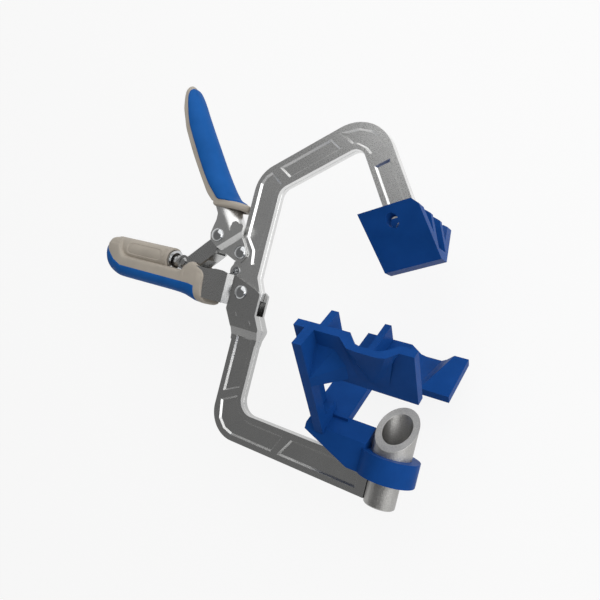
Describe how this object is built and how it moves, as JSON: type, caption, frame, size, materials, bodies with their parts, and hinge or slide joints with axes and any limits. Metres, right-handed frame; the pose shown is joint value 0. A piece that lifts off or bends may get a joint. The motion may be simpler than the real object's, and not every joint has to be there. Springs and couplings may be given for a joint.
{
  "type": "corner clamp",
  "caption": "Locking clamp for corner joints: a 45 degree two-plate lower jaw with a screw guide on a C-shaped steel frame, a wedge jaw on a hinged arm, and a toggle lever with padded handles",
  "frame": {"origin": "the line that the two boards' faces meet in, where the screw guide's axis crosses it", "axes": "X along the foot towards the screw guide, Y along the guide's bore from the foot into the corner, Z through the clamp's thickness; every pivot is parallel to Z"},
  "size_m": [0.3324, 0.2763, 0.1378],
  "materials": {
    "pressed_steel": "satin nickel-plated pressed sheet",
    "rivet_steel": "bright plated",
    "cast_guide": "fine matt casting",
    "jaw_paint": "blue powder coat on a casting",
    "pale_plastic": "fine matt moulding",
    "soft_skin": "matt blue overmould",
    "plated_ring": "bright plated",
    "spring_steel": "drawn wire"
  },
  "bodies": {
    "frame": {"frame_half_front": "pressed_steel", "frame_half_rear": "pressed_steel", "frame_rivets": "rivet_steel", "main_rivet": "rivet_steel", "spring_anchor_pin": "rivet_steel", "guide_barrel": "cast_guide", "lower_jaw": "jaw_paint", "grip_shell": "pale_plastic", "grip_overmould": "soft_skin", "return_spring": "spring_steel"},
    "upper_arm": {"upper_arm_front": "pressed_steel", "upper_arm_rear": "pressed_steel", "spring_eyelet": "rivet_steel", "jaw_pin": "rivet_steel"},
    "upper_jaw": {"upper_jaw": "jaw_paint"},
    "lever": {"lever_channel": "pressed_steel", "lever_rivet": "rivet_steel", "link_rivet": "rivet_steel", "lever_cover": "pale_plastic", "lever_pad": "soft_skin"},
    "link": {"toggle_link": "pressed_steel"},
    "plunger": {"plunger": "rivet_steel", "link_foot_pin": "rivet_steel", "adjuster_spring": "spring_steel"},
    "adjuster": {"adjuster_ring": "plated_ring"}
  },
  "joints": [
    {"name": "upper_arm_hinge", "type": "hinge", "parent": "frame", "child": "upper_arm", "pos_m": [-0.1459, 0.0607, 0], "axis": [0, 0, 1], "range_deg": [-24, 0], "deforming": ["return_spring"]},
    {"name": "upper_jaw_swivel", "type": "hinge", "parent": "upper_arm", "child": "upper_jaw", "pos_m": [-0.0258, 0.1283, 0], "axis": [0, 0, 1], "range_deg": [-10, 10]},
    {"name": "lever_hinge", "type": "hinge", "parent": "upper_arm", "child": "lever", "pos_m": [-0.1564, 0.0907, 0], "axis": [0, 0, 1], "range_deg": [0, 54.1]},
    {"name": "link_hinge", "type": "hinge", "parent": "lever", "child": "link", "pos_m": [-0.18, 0.1004, 0], "axis": [0, 0, 1], "range_deg": [-48.1, 0]},
    {"name": "plunger_slide", "type": "slide", "parent": "frame", "child": "plunger", "axis": [1, 0, 0], "range_m": [0, 0.0032], "deforming": ["adjuster_spring"]},
    {"name": "adjuster_ring_turn", "type": "hinge", "parent": "frame", "child": "adjuster", "pos_m": [-0.2291, 0.073, 0], "axis": [1, 0, 0], "range_deg": [-150, 150]}
  ],
  "couplings": [
    {"joint": "lever_hinge", "follows": "upper_arm_hinge", "ratio": -2.25},
    {"joint": "link_hinge", "follows": "upper_arm_hinge", "ratio": 2},
    {"joint": "plunger_slide", "follows": "upper_arm_hinge", "m_per_rad": -0.0075}
  ]
}
